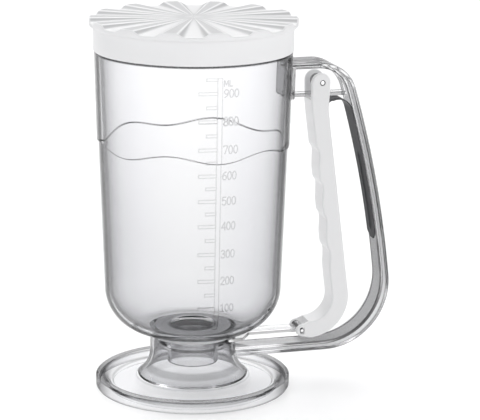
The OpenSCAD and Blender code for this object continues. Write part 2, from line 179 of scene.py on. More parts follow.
def rounded(corners, steps=4):
    """A closed outline from (x, y, radius) corners, each turned into an arc."""
    out = []
    n = len(corners)
    for i, (x, y, r) in enumerate(corners):
        p = np.array([x, y], float)
        if r <= 0:
            out.append(p)
            continue
        a = np.array(corners[i - 1][:2], float) - p
        b = np.array(corners[(i + 1) % n][:2], float) - p
        a /= np.linalg.norm(a)
        b /= np.linalg.norm(b)
        half = math.acos(max(-1.0, min(1.0, float(a @ b)))) / 2
        reach = r / math.tan(half)
        mid = (a + b) / np.linalg.norm(a + b)
        c = p + mid * r / math.sin(half)
        s, e = p + a * reach - c, p + b * reach - c
        turn = math.acos(max(-1.0, min(1.0, float(s @ e) / r ** 2)))
        for k in range(steps + 1):
            t = k / steps
            w = (math.sin((1 - t) * turn) * s + math.sin(t * turn) * e) / math.sin(turn)
            out.append(c + w)
    return np.array(out)


def rounded_box(x, y, r, steps=4):
    """A rectangle over the ranges x and y with rounded corners."""
    return rounded([(x[0], y[0], r), (x[1], y[0], r), (x[1], y[1], r), (x[0], y[1], r)], steps)


def arc(centre, r, a, b, steps):
    """Points on a circle from angle a to angle b, in degrees."""
    t = np.radians(np.linspace(a, b, steps + 1))
    return np.stack([centre[0] + r * np.cos(t), centre[1] + r * np.sin(t)], 1)


def ladder(r, heights):
    """Points one above the other at radius r."""
    return np.array([[r, z] for z in heights])


def shelf(radii, z):
    """Points side by side at height z."""
    return np.array([[r, z] for r in radii])


def tube(name, rows, body, **kw):
    """Joins rows of points into a closed tube with flat ends."""
    m = len(rows[0])
    faces = ring_grid(len(rows), m, close_rows=False)
    faces.append(tuple(range(m)))
    faces.append(tuple((len(rows) - 1) * m + k for k in range(m))[::-1])
    return new_piece(name, np.concatenate(rows), faces, body, **kw)


def turned(name, r, z, turn, faces, body, **kw):
    """A piece whose rows of points run round the axis at radius r, height z."""
    pts = np.stack([r * np.cos(turn), r * np.sin(turn), z], -1)
    return new_piece(name, pts.reshape(-1, 3), faces, body, **kw)


def bent(section, at, n):
    """A section of (depth, y) points, standing at (x, z) along the normal n."""
    return np.stack([at[0] + section[:, 0] * n[0], section[:, 1], at[1] + section[:, 0] * n[1]],
                    1)


def lathe(name, outline, segments, body, axis="Z", at=(0, 0), **kw):
    """Revolves a closed (radius, height) outline. Along Y the axis passes
    through (x, z) = at."""
    turn = np.linspace(0, 2 * math.pi, segments, endpoint=False)
    r, h = outline[:, 0][:, None], outline[:, 1][:, None]
    c, s = r * np.cos(turn), r * np.sin(turn)
    if axis == "Z":
        pts = np.stack([c, s, np.broadcast_to(h, c.shape)], -1)
    else:
        pts = np.stack([at[0] + c, np.broadcast_to(h, c.shape), at[1] + s], -1)
    return new_piece(name, pts.reshape(-1, 3), ring_grid(len(outline), segments), body, **kw)


def drill(at, r, half, segments=48):
    """A round cutter along Y."""
    outline = np.array([(AXIS_R, -half), (r, -half), (r, half), (AXIS_R, half)])
    return lathe("hole", outline, segments, None, axis="Y", at=at)


def barrel(name, at, r, half, edge, segments):
    """A round bar along Y with rounded ends."""
    outline = rounded([(AXIS_R, -half, 0), (r, -half, edge), (r, half, edge), (AXIS_R, half, 0)])
    return lathe(name, outline, segments, None, axis="Y", at=at)


def unit(v):
    return v / np.maximum(np.linalg.norm(v, axis=1), 1e-9)[:, None]


def to_the_right(v):
    return np.stack([v[:, 1], -v[:, 0]], 1)


def outline_normals(outline):
    """Outward normals at the points of a closed outline, longer at corners so
    that an outline moved along them keeps its distance."""
    nxt, prv = np.roll(outline, -1, 0), np.roll(outline, 1, 0)
    ahead = to_the_right(unit(nxt - outline))
    n = unit(ahead + to_the_right(unit(outline - prv)))
    grow = 1 / np.maximum(0.35, (n * ahead).sum(1))
    area = (outline[:, 0] * nxt[:, 1] - nxt[:, 0] * outline[:, 1]).sum()
    return n * grow[:, None] * (1 if area > 0 else -1)


def resample(outline, step):
    """Adds points so that no edge of a closed outline is longer than step."""
    out = []
    for p, q in zip(outline, np.roll(outline, -1, 0)):
        n = max(1, int(math.ceil(np.linalg.norm(q - p) / step)))
        out += [p + (q - p) * k / n for k in range(n)]
    return np.array(out)


def slab(name, outline, width, edge, body=None, flat="XZ", middle=0.0, steps=4, **kw):
    """A plate with rounded edges: the outline lies in XZ (or XY) and the width
    runs along Y (or Z), centred on middle."""
    n = outline_normals(outline)
    levels = [(-width / 2, 0.0)]
    if edge > 0:
        turns = [deg(90 * k / steps) for k in range(steps, -1, -1)]
        levels = [(-width / 2 + edge * (1 - math.sin(t)), edge * (1 - math.cos(t)))
                  for t in turns]
    rows = []
    for w, inset in levels + [(-w, i) for w, i in reversed(levels)]:
        p = outline - n * inset
        level = np.full(len(p), middle + w)
        rows.append(np.stack([p[:, 0], level, p[:, 1]], 1) if flat == "XZ"
                    else np.stack([p[:, 0], p[:, 1], level], 1))
    return tube(name, rows, body, **kw)


def boolean(target, cutters, operation):
    """Joins or cuts pieces with exact booleans; the cutters go afterwards."""
    bpy.context.view_layer.update()
    for cutter in cutters:
        mod = target.modifiers.new("shape", "BOOLEAN")
        mod.operation = operation
        mod.solver = "EXACT"
        mod.object = cutter
    deps = bpy.context.evaluated_depsgraph_get()
    mesh = bpy.data.meshes.new_from_object(target.evaluated_get(deps))
    target.modifiers.clear()
    old = target.data
    target.data = mesh
    mesh.name = target.name
    bpy.data.meshes.remove(old)
    for cutter in cutters:
        data = cutter.data
        bpy.data.objects.remove(cutter)
        bpy.data.meshes.remove(data)
    return target


def crease(piece, angle):
    """Smooth shading that stays sharp where faces meet at more than angle."""
    mesh = piece.data
    bm = bmesh.new()
    bm.from_mesh(mesh)
    bmesh.ops.remove_doubles(bm, verts=bm.verts, dist=2e-6)
    flat = [f for f in bm.faces if len(f.verts) > 4]
    bmesh.ops.triangulate(bm, faces=flat)
    limit = deg(angle)
    for e in bm.edges:
        e.smooth = len(e.link_faces) == 2 and e.calc_face_angle(0) < limit
    for f in bm.faces:
        f.smooth = True
    bm.to_mesh(mesh)
    bm.free()
    weigh = piece.modifiers.new("face weights", "WEIGHTED_NORMAL")
    weigh.keep_sharp = True
    weigh.weight = 80
    return piece


# ---- masks

def smooth_ramp(t):
    t = np.clip(t, 0, 1)
    return t * t * (3 - 2 * t)


def set_mask(piece, name, values):
    """A mask for the material: one value from 0 to 1 at every vertex."""
    layer = piece.data.attributes.new(name, "FLOAT", "POINT")
    layer.data.foreach_set("value", np.asarray(values, np.float32).ravel())


def fade_round(a, b, table):
    """A mask that fades round the table's points (a, b, level, reach)."""
    mask = np.zeros(len(a))
    for a0, b0, level, reach in table:
        gap = np.hypot(a - a0, b - b0)
        mask = np.maximum(mask, level * smooth_ramp(1.35 - gap / reach))
    return mask


# ---- the raised scale marks

def glyph(ch):
    """Strokes of a numeral in a box one unit high, as lists of points."""
    def curve(cx, cy, rx, ry, a, b, n=18):
        t = np.radians(np.linspace(a, b, n))
        return np.stack([cx + rx * np.cos(t), cy + ry * np.sin(t)], 1)

    line = np.array
    return {
        "0": [curve(.28, .5, .25, .5, 0, 360, 32)],
        "1": [line([(.08, .82), (.3, 1.0), (.3, 0.0)]), line([(.12, 0), (.48, 0)])],
        "2": [np.concatenate([curve(.28, .74, .24, .26, 170, -35), [(.04, 0.0), (.56, 0.0)]])],
        "3": [curve(.26, .76, .22, .24, 150, -90), curve(.26, .27, .26, .27, 90, -150)],
        "4": [line([(.44, 0), (.44, 1), (.02, .3), (.6, .3)])],
        "5": [np.concatenate([[(.52, 1.0), (.12, 1.0), (.08, .56)],
                              curve(.27, .32, .27, .32, 125, -150)])],
        "6": [curve(.28, .29, .24, .29, 0, 360, 28), curve(.6, .36, .56, .64, 103, 180)],
        "7": [line([(.04, .9), (.04, 1.0), (.56, 1.0), (.2, 0)])],
        "8": [curve(.28, .76, .2, .24, 0, 360, 26), curve(.28, .26, .25, .26, 0, 360, 28)],
        "9": [curve(.28, .71, .24, .29, 0, 360, 28), curve(-.04, .64, .56, .64, -77, 0)],
        "M": [line([(0, 0), (.05, 1), (.35, .25), (.65, 1), (.7, 0)])],
        "L": [line([(.05, 1), (.05, 0), (.5, 0)])],
    }[ch]


def mark_bars():
    """The scale's bar and ticks as (u low, u high, z low, z high), with u the
    distance round the wall from the middle of the bar, and the heights of the
    numbered ticks."""
    per_deg = MARK_R * math.pi / 180
    majors = [169.1, 154.6, 140.0, 126.2, 112.9, 99.6, 84.7, 70.3, 55.4]
    bars = [(-1.5, 0.95, 43.5, 176.9), (-8.0 * per_deg, -1.4, 175.5, 176.9)]
    bars += [(-12.2 * per_deg, -1.4, z - 0.8, z + 0.8) for z in majors]
    for a, b in zip(majors, majors[1:]):
        z = (a + b) / 2
        bars.append((-7.9 * per_deg, -1.4, z - 0.75, z + 0.75))
    return bars, majors


def mark_strokes():
    """The numerals' strokes as segments (u, z) to (u, z)."""
    segments = []
    labels = [(str(900 - 100 * i), z, 4.1, 0.66) for i, z in enumerate(mark_bars()[1])]
    for text, z, size, advance in labels + [("ML", 174.3, 3.0, 0.9)]:
        u = 1.75
        for ch in text:
            for stroke in glyph(ch):
                p = stroke * size + [u, z - size / 2]
                segments += list(zip(p[:-1], p[1:]))
            u += size * advance
    return segments


def raised_marks(u, z):
    """How far each point (u, z) of the wall is raised by the marks, from 0 to
    1, and how much it is frosted and darkened with painted shade: the numerals
    all over, the bars along their edges."""
    soft, half = 0.2, 0.27      # of the marks' edges, and of a stroke's width
    h, frost_and_shade = np.zeros(u.shape), np.zeros(u.shape)
    for a, b, c, d in mark_bars()[0]:
        near = (u > a - 1) & (u < b + 1) & (z > c - 1) & (z < d + 1)
        inside = np.minimum.reduce([u[near] - a, b - u[near], z[near] - c, d - z[near]])
        h[near] = np.maximum(h[near], 0.5 * smooth_ramp(inside / (2 * soft) + 0.5))
        frost_and_shade[near] = np.maximum(frost_and_shade[near], 0.4 * smooth_ramp(1.15 - np.abs(inside) / 0.42))
    for p, q in mark_strokes():
        lo, hi = np.minimum(p, q) - 1, np.maximum(p, q) + 1
        near = (u > lo[0]) & (u < hi[0]) & (z > lo[1]) & (z < hi[1])
        if not near.any():
            continue
        d = q - p
        w = np.stack([u[near] - p[0], z[near] - p[1]], -1)
        t = np.clip((w @ d) / max(float(d @ d), 1e-9), 0, 1)
        gap = np.linalg.norm(w - t[:, None] * d, axis=1)
        line = smooth_ramp((half - gap) / (2 * soft) + 0.5)
        h[near] = np.maximum(h[near], line)
        frost_and_shade[near] = np.maximum(frost_and_shade[near], 0.52 * line)
    return h, frost_and_shade


# ---- jar

def neck_slot(faces, r, z, az):
    """Opens the slot that the gate slides through in the neck's wall. Gives
    the faces and the vertices along the slot's lips."""
    def row(radius, height):
        return np.flatnonzero((np.abs(r - radius) < 0.01) & (np.abs(z - height) < 0.01))[0]

    def at(i, j):
        return int(i * len(az) + j)

    low, high = (row(NECK_R, height) for height in SLOT_Z)
    in_low, in_high = (row(NECK_IN_R, height) for height in SLOT_Z)
    across = np.flatnonzero(np.abs(az) < SLOT_HALF_DEG)
    first, last = across[0] - 1, across[-1] + 1
    gone = {at(i, j) for i in (low, in_high) for j in range(first, last)}
    kept = [face for n, face in enumerate(faces) if n not in gone]
    for j in range(first, last):
        k = j + 1
        kept.append((at(low, j), at(low, k), at(in_low, k), at(in_low, j)))
        kept.append((at(high, k), at(high, j), at(in_high, j), at(in_high, k)))
    kept.append((at(high, first), at(low, first), at(in_low, first), at(in_high, first)))
    kept.append((at(low, last), at(high, last), at(in_high, last), at(in_low, last)))
    lips = [at(i, j) for i in (low, high, in_high, in_low) for j in range(first, last + 1)]
    return kept, np.array(lips)


def sharp_lips(piece, lips):
    """Makes the edges between the given vertices sharp."""
    ends = np.zeros(len(piece.data.edges) * 2, int)
    piece.data.edges.foreach_get("vertices", ends)
    sharp = piece.data.attributes.new("sharp_edge", "BOOLEAN", "EDGE")
    sharp.data.foreach_set("value", np.isin(ends, lips).reshape(-1, 2).all(axis=1))


def step_height(az):
    """Height of the wavy step around the jar."""
    return STEP_Z + STEP_WAVE * np.cos(np.radians(6 * (az - 1.0)))


def jar_outlines():
    """The jar's outlines as (radius, height): from the foot to the straight
    wall, the wall's heights, the shoulder and rim, and the whole inside."""
    def spaced(a, b, step):
        return np.linspace(a, b, int(abs(b - a) / step) + 1)

    slope = math.degrees(math.atan(LOWER_TAPER))
    bowl_z = NECK_TOP_Z + BOWL_R
    bowl_c = (lower_r(bowl_z) - BOWL_R / math.cos(deg(slope)), bowl_z)
    low = np.concatenate([
        [[27.9, 6.05], [28.7, 6.0]],
        arc((28.9, 6.4), 0.4, -80, 0, 4),
        arc((28.9, 7.0), 0.4, 0, 50, 3),
        arc(FLARE_C, FLARE_R, 234, 182, 22),
        ladder(NECK_R, (21.5, 23.5, 25.4, *SLOT_Z, 28.5, 29.6)),
        arc((NECK_R + 1.1, NECK_TOP_Z - 1.08), 1.1, 178, 100, 5),
        arc(bowl_c, BOWL_R, -86, -32, 26),
        arc(bowl_c, BOWL_R, -31.4, -slope, 50)])
    # closer together at the wavy step
    wall_z = np.concatenate([spaced(low[-1, 1] + 0.25, 130.6, 0.25), spaced(130.75, 138.3, 0.15),
                             spaced(138.5, 178.4, 0.25), spaced(178.8, 181.9, 0.6),
                             [182.0, 182.2, 182.55]])
    top = np.concatenate([
        arc((JAR_R - 0.35, SHOULDER_Z - 0.35), 0.35, 0, 90, 4),
        [[RIM_R + 0.5, SHOULDER_Z]],
        arc((RIM_R + 0.3, SHOULDER_Z + 0.3), 0.3, -95, -180, 3),
        ladder(RIM_R, (185.0, 188.0, 191.0, 194.0)),
        arc((RIM_R - 0.4, RIM_Z - 0.4), 0.4, 0, 90, 4),
        arc((inside_r(RIM_Z) + 0.4, RIM_Z - 0.4), 0.4, 90, 180, 4)])
    # down to the floor, through the outlet and down the hollow neck
    in_z = FLOOR_Z + BOWL_IN_R
    in_c = (inside_r(in_z) - BOWL_IN_R / math.cos(deg(slope)), in_z)
    down = np.linspace(RIM_Z - 1.5, in_z, 46)
    inner = np.concatenate([
        np.stack([inside_r(down), down], 1),
        arc(in_c, BOWL_IN_R, -slope - 3, -90, 36),
        shelf((21.0, 18.5, 16.0, 13.5), FLOOR_Z),
        arc((OUTLET_R + 0.5, FLOOR_Z - 0.5), 0.5, 90, 180, 4),
        [[OUTLET_R, 32.9]],
        arc((OUTLET_R + 0.3, NECK_TOP_Z + 0.3), 0.3, 180, 270, 3),
        shelf((14.0, 17.0, 20.0), NECK_TOP_Z),
        arc((NECK_IN_R - 0.5, NECK_TOP_Z - 0.5), 0.5, 90, 0, 3),
        ladder(NECK_IN_R, (29.0, 28.5, *SLOT_Z[::-1], 25.4, 23.0, 20.5)),
        arc(FLARE_C, FLARE_R + 2, 182, 230.5, 22)])
    return low, wall_z, top, inner


def build_jar():
    # columns close together where the scale is
    fine = np.arange(-103.2, -76.4, 0.235)
    coarse = np.linspace(fine[-1] + 2.2, fine[0] + 360 - 2.2, 138)
    az = np.concatenate([fine, coarse])
    u = (az + 89.75) * MARK_R * math.pi / 180
    low, wall_z, top, inner = jar_outlines()
    rows_r, rows_z, marks = [], [], []

    def add(r, z, mark):
        for rows, value in ((rows_r, r), (rows_z, z), (marks, mark)):
            rows.append(np.broadcast_to(value, u.shape))

    for (r, z), (nr, nz) in zip(low, unit(to_the_right(np.gradient(low, axis=0)))):
        m, frost_and_shade = raised_marks(u, np.full(u.shape, z))
        # painted shade: a touch of darkness under the bowl by the neck, and more low on the foot
        under = 0.1 * smooth_ramp((27.2 - r) / 1.5) * smooth_ramp((z - NECK_TOP_Z + 0.5) / 0.4)
        foot = 0.4 * smooth_ramp((9.5 - z) / 3.5)
        add(r + m * MARK_HEIGHT * nr, z + m * MARK_HEIGHT * nz,
            np.maximum(frost_and_shade, max(under, foot)))
    step_z = step_height(az)
    for z in wall_z:
        out = smooth_ramp((z - step_z + 0.35) / 0.7)
        m, frost_and_shade = raised_marks(u, np.full(u.shape, z))
        # painted shade: a dark line along the wavy step, and one at the top of the wall under the
        # lid's skirt
        line = smooth_ramp(1.25 - np.abs(z - step_z) / 0.48)
        add(lower_r(z) + (upper_r(z) - lower_r(z)) * out + m * MARK_HEIGHT, z,
            np.maximum.reduce([frost_and_shade, line, np.full(u.shape, smooth_ramp((z - 181.8) / 0.3))]))
    for r, z in np.concatenate([top, inner]):
        # painted shade: the shadow line on the shoulder under the lid's skirt, darkness in the
        # outlet's bore and a dark band inside the flare
        shoulder = z <= SHOULDER_Z + 0.01 and r > RIM_R + 0.4
        bore = r < OUTLET_R + 0.45 and z < FLOOR_Z - 0.1
        band = 0.55 * smooth_ramp((z - 8.4) / 1.2) * smooth_ramp((13.2 - z) / 1.2)
        add(r, z, 1.0 if shoulder else 0.5 if bore else band)
    r, z, marks = np.array(rows_r), np.array(rows_z), np.array(marks)
    faces, lips = neck_slot(ring_grid(len(r), len(az)), r[:, 0], z[:, 0], az)
    jar = turned("jar_body", r, z, np.radians(az), faces, "jar_body", slot="clear_jar",
                 replaces=["jar"])
    sharp_lips(jar, lips)
    # painted shade along the lips of the gate's slot
    marks.reshape(-1)[lips] = 0.85
    # the marks mask is mostly painted shade; only the numerals and bars are raised marks
    set_mask(jar, "marks", marks)
    # painted shade: the outside above the neck takes the table with the deeper edge darkening
    outside = np.arange(len(z)) < len(low) + len(wall_z)
    set_mask(jar, "edges", smooth_ramp((z - 31.0) / 5.0) * outside[:, None])
    return jar


def jar_cutter():
    """The jar's outside, a hair larger, for trimming what is fixed to it."""
    gap = 0.06
    bowl_z = NECK_TOP_Z + BOWL_R
    rows = np.concatenate([
        [(0.01, 2.0), (FOOT_R + gap, 2.0), (FOOT_R + gap, 7.2)],
        arc(FLARE_C, FLARE_R - gap, 233, 181, 20),
        [(NECK_R + gap, 31.2), (NECK_R + gap + 0.3, 31.44)],
        arc((lower_r(bowl_z) - BOWL_R, bowl_z), BOWL_R + gap, -88, -3, 24),
        [(lower_r(STEP_Z - 3) + gap, STEP_Z - 3), (upper_r(STEP_Z) + gap, STEP_Z),
         (upper_r(SHOULDER_Z) + gap, SHOULDER_Z + 1), (0.01, SHOULDER_Z + 1)]])
    return lathe("cut", rows, 240, None)


# ---- handle

def bow_centre():
    """Centre of the bow that touches both corners' circles from outside."""
    t, l = np.array(TOP_C), np.array(LOW_C)
    gap = np.linalg.norm(l - t)
    along = (l - t) / gap
    side = np.array([along[1], -along[0]])
    ta, la = BOW_R - TOP_R, BOW_R - LOW_R
    run = (ta ** 2 - la ** 2 + gap ** 2) / (2 * gap)
    return t + run * along + math.sqrt(ta ** 2 - run ** 2) * side


BOW_C = bow_centre()
BOW_TOP_A = math.degrees(math.atan2(TOP_C[1] - BOW_C[1], TOP_C[0] - BOW_C[0]))
BOW_LOW_A = math.degrees(math.atan2(LOW_C[1] - BOW_C[1], LOW_C[0] - BOW_C[0]))


def handle_path():
    """Points and inward normals down the handle's outside, from top to bottom."""
    top_z, low_z = TOP_C[1] + TOP_R, LOW_C[1] - LOW_R
    pts = [(x, top_z) for x in np.linspace(46, TOP_C[0] - 0.6, 8)]
    normals = [(0, -1)] * len(pts)
    for c, r, a, b, n in ((TOP_C, TOP_R, 90, BOW_TOP_A, 26),
                          (BOW_C, BOW_R, BOW_TOP_A - 0.06, BOW_LOW_A + 0.06, 60),
                          (LOW_C, LOW_R, BOW_LOW_A, -90, 44)):
        for t in np.radians(np.linspace(a, b, n)):
            pts.append((c[0] + r * math.cos(t), c[1] + r * math.sin(t)))
            normals.append((-math.cos(t), -math.sin(t)))
    end = [(x, low_z) for x in np.linspace(LOW_C[0] - 1, 18, 12)]
    return np.array(pts + end), np.array(normals + [(0, 1)] * len(end))


def handle_pad():
    """The pad on the wall: a piece of a ring with rounded corners."""
    outline = resample(rounded_box((-BAND_HALF_W, BAND_HALF_W), PAD_Z, 1.5, 5), 1.0)
    n = outline_normals(outline)
    rows = []
    for depth, inset in ((-4.0, 0), (1.6, 0), (1.85, 0.12), (2.0, 0.45), (2.01, 1.1)):
        p = outline - n * inset
        r = upper_r(p[:, 1]) + depth
        rows.append(np.stack([np.sqrt(r ** 2 - p[:, 0] ** 2), p[:, 0], p[:, 1]], 1))
    return tube("pad", rows, None)


def handle_painted_shade(piece, path):
    """Painted shade, where the handle is darker: along the corners of the band and
    the rail, on the rail's lower face and along the pad's rim."""
    co = np.empty(3 * len(piece.data.vertices), np.float32)
    piece.data.vertices.foreach_get("co", co)
    x, y, z = (co.reshape(-1, 3) / MM).T
    y = np.abs(y)
    fine = np.concatenate([np.linspace(a, b, 12, endpoint=False) for a, b in zip(path, path[1:])])
    depth = np.array([np.min(np.hypot(fine[:, 0] - a, fine[:, 1] - b)) for a, b in zip(x, z)])
    wide = 0.55 + 0.5 * smooth_ramp((78 - z) / 8)
    marks = (x > 50) * fade_round(depth, y, (
        (0.25, 10.75, 0.6, 0.5), (BAND_T, 10.85, 0.8, 0.5), (BAND_T, RAIL_HALF_W, 0.62, 0.5),
        (3.4, 6.3, 0.97, wide)))
    face = smooth_ramp((depth - 3.2) / 0.3) * (depth < 3.9) * (y < 6.4) * (z < 90)
    marks = np.maximum(marks, 0.72 * face * smooth_ramp((80 - z) / 6) * (x > 58))
    rim = np.minimum.reduce([BAND_HALF_W - y, np.abs(z - PAD_Z[0]), np.abs(PAD_Z[1] - z)])
    at_pad = (np.hypot(x, y) < upper_r(z) + 2.3) & (z > 155.2) & (y > 3.0)
    return np.maximum(marks, 0.5 * smooth_ramp(1.3 - rim / 0.4) * at_pad)


def build_handle():
    path, normals = handle_path()
    half = [(0, BAND_HALF_W, 0.7), (BAND_T, BAND_HALF_W, 0.5), (BAND_T, RAIL_HALF_W, 0.35),
            (RAIL_IN, RAIL_HALF_W, 0.5)]
    section = resample(rounded(half + [(d, -y, r) for d, y, r in half[::-1]]), 0.42)
    rows = [bent(section, p, n) for p, n in zip(path, normals)]
    handle = tube("handle_bow", rows, "jar_body", slot="clear_handle", replaces=["handle"])
    web = np.concatenate([[(48, 155.8)], arc(TOP_C, TOP_R - 1.1, 3.7, 90, 24), [(48, 173.5)]])
    bar = rounded_box((48, 85.6), (PAD_Z[0], 157.3), 0.4)
    boolean(handle, [slab("web", web, 3.0, 0.0), slab("bar", bar, 8.0, 0.25),
                     barrel("boss", PIVOT, 3.5, 4.85, 0.4, 64), handle_pad()], "UNION")
    boolean(handle, [jar_cutter(), drill(PIVOT, PIVOT_PIN_R + 0.06, 8)], "DIFFERENCE")
    crease(handle, 32)
    # painted shade along the handle's corners, rail face and pad rim
    set_mask(handle, "marks", handle_painted_shade(handle, path))
    return handle


# ---- lever

def bend_point(r):
    """Where the bend of radius r meets the straight part."""
    return (BEND[0] + r * math.cos(deg(LEAN)), BEND[1] + r * math.sin(deg(LEAN)))


def face_x(z):
    """The finger face, without its hollows."""
    x, z0 = bend_point(BEND_IN_R)
    return x - (z - z0) * math.tan(deg(LEAN))


def lever_outline():
    """The lever from the side: down the finger face with its four soft
    hollows, round the bend and the toe, and up the back to the ears."""
    pitch = (KNEE[1] - BEND[1]) / 5.6
    first = KNEE[1] - 1.36 * pitch
    upright = math.cos(deg(LEAN))
    at_ears = EAR[0] - EAR_R + 0.02
    face = [(at_ears + (KNEE[0] - at_ears) * smooth_ramp((154 - z) / 5.8), z)
            for z in (162.4, 160.0, 157.0, 154.0, 152.5, 151.0, 149.6)]
    for z in np.linspace(KNEE[1], bend_point(BEND_IN_R)[1], 150):
        depth = 0.0
        for i in range(4):
            d = (first - i * pitch - z) / upright + 3.2
            fall = smooth_ramp((d + 2.6) / 2.8) if d < 0 else 1 - smooth_ramp(d / 12.5)
            depth = max(depth, 1.3 * fall)
        face.append((face_x(z) + depth / upright, z))
    x, z0 = bend_point(BEND_OUT_R)
    outline = np.concatenate([
        face,
        arc(BEND, BEND_IN_R, LEAN - 3, -88, 40),
        arc(LINK, 3.2, 88, 268, 24),
        arc(BEND, BEND_OUT_R, -90, LEAN, 60),
        [(x - (z - z0) * math.tan(deg(LEAN)), z) for z in np.linspace(z0 + 2, 147.5, 40)],
        [(72.72, 150.0), (72.95, 154.0), (73.2, 158.0), (73.28, 161.5)],
        arc(EAR, EAR_R, -6, 184, 40)])
    front = slice(8, 156)       # the hollows' edges are softened there
    for _ in range(2):
        x = outline[:, 0].copy()
        outline[front, 0] = (0.25 * np.roll(x, 1) + 0.5 * x + 0.25 * np.roll(x, -1))[front]
    return outline


def build_lever():
    lever = slab("squeeze_lever_shell", lever_outline(), LEVER_W, 1.0, "lever",
                 slot="white_lever", replaces=["squeeze_lever"], steps=5)
    inner = np.concatenate([
        [(62.0, 176.0), (62.0, 153.9), (66.33, 153.9), (66.4, KNEE[1])],
        arc(BEND, BEND_IN_R + 3, LEAN, -90, 40),
        [(63.7, 33.2), (55.0, 33.2), (55.0, 21.0), (63.7, 21.0), (92.0, 21.0), (92.0, 52.0),
         (78.5, 150.0), (78.5, 176.0)]])
    slot = rounded_box((LINK[0] - 1.32, LINK[0] + 1.32), (LINK[1] - 2.0, LINK[1] + 2.0), 1.0)
    boolean(lever, [slab("cavity", inner, LEVER_IN_W, 0.0), drill(PIVOT, PIVOT_PIN_R + 0.03, 9),
                    slab("slot", slot, LEVER_W + 5.5, 0.0)], "DIFFERENCE")
    return crease(lever, 34)


def build_pin(name, node, at, r, body):
    """A turned pin whose bright end face stands in a ring groove painted dark, as painted shade.
    """
    segments = 48
    half = LEVER_W / 2 - 0.3
    end = [(r, half - 0.25), (r - 0.08, half - 0.15), (r * 0.86, half - 0.15),
           (r * 0.83, half - 0.75), (r * 0.74, half - 0.75), (r * 0.71, half),
           (r * 0.62, half + 0.08), (r * 0.3, half + 0.1), (0.01, half + 0.1)]
    outline = np.array([(x, -y) for x, y in end[::-1]] + end)
    pin = lathe(name, outline, segments, body, axis="Y", at=at, slot="pin_steel",
                replaces=[node])
    # painted shade in the ring groove
    groove = (outline[:, 0] > 0.73 * r) & (np.abs(outline[:, 1]) > half - 0.8)
    set_mask(pin, "groove", np.repeat(groove, segments))
    return pin


# ---- spring

def spring_stations():
    """Along the strip: its middle (x, z), its normal there, its width and how
    far the bead is raised."""
    rail_r = BOW_R - RAIL_IN
    arch_r, arch_z = 8.0, PIVOT[1] - 17.0
    arch_a = math.asin((arch_z - BOW_C[1]) / (rail_r - arch_r))
    arch_c = (BOW_C[0] + (rail_r - arch_r) * math.cos(arch_a), arch_z)
    end_a = math.asin((LOW_C[1] + 22.6 - BOW_C[1]) / rail_r)
    stations = []

    def add(at, normal, width, bead=0.0):
        stations.append((*at, *normal, width, bead))

    def add_on_circle(c, r, a, width, bead=0.0):
        x, z = math.cos(a), math.sin(a)
        add((c[0] + r * x, c[1] + r * z), (-x, -z), width, bead)

    mid_r = rail_r - SPRING_T / 2
    for a in np.linspace(end_a, arch_a, 90):
        z = BOW_C[1] + mid_r * math.sin(a)
        add_on_circle(BOW_C, mid_r, a, SPRING_W * (0.45 + 0.55 * smooth_ramp((z - 75.1) / 3.5)),
                      smooth_ramp((z - 78.5) / 3) * smooth_ramp((125 - z) / 4))
    for a in np.linspace(math.degrees(arch_a) + 4, 150, 40):
        width = SPRING_W + (TONGUE_W - SPRING_W) * smooth_ramp((a - 110) / 8)
        add_on_circle(arch_c, arch_r - SPRING_T / 2, deg(a), width)
    start = np.array(stations[-1][:2])
    tongue = np.array((face_x(arch_z - 1) + 3.6, arch_z - 1))
    run = (tongue - start) / np.linalg.norm(tongue - start)
    down = np.array([math.sin(deg(LEAN)), -math.cos(deg(LEAN))])
    for k in np.linspace(0.2, 1, 5):
        turned = smooth_ramp((k - 0.6) / 0.4)
        d = run * (1 - turned) + down * turned
        add(start + (tongue - start) * k, (-d[1], d[0]), TONGUE_W)
    for k in np.linspace(0.6, 7.3, 10):
        width = TONGUE_W * (1 - 0.3 * smooth_ramp((k - 5.8) / 1.5))
        add(tongue + down * k, (-down[1], down[0]), width)
    return stations


def build_spring():
    """The leaf spring: down the handle's rail, over in an arch, into the lever.
    Its lower leaf has a raised bead along the middle."""
    across = np.concatenate([np.linspace(-1, -0.32, 7), np.linspace(-0.26, 0.26, 13),
                             np.linspace(0.32, 1, 7)])
    half = SPRING_T / 2
    rows = []
    for x, z, nx, nz, width, bead in spring_stations():
        y = across * (width / 2 - 0.12)
        rise = bead * 0.55 * np.exp(-(across / 0.13) ** 4)
        section = np.concatenate([
            np.stack([half + rise, y], 1),
            [(half - 0.15, width / 2), (-half + 0.15, width / 2)],
            np.stack([np.full(len(y), -half), y[::-1]], 1),
            [(-half + 0.15, -width / 2), (half - 0.15, -width / 2)]])
        rows.append(bent(section, (x, z), np.array([nx, nz]) / math.hypot(nx, nz)))
    spring = tube("leaf_spring_strip", rows, None, slot="spring_steel",
                  replaces=["leaf_spring"])
    crease(spring, 38)
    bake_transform(spring)
    return spring


# ---- gate and valve

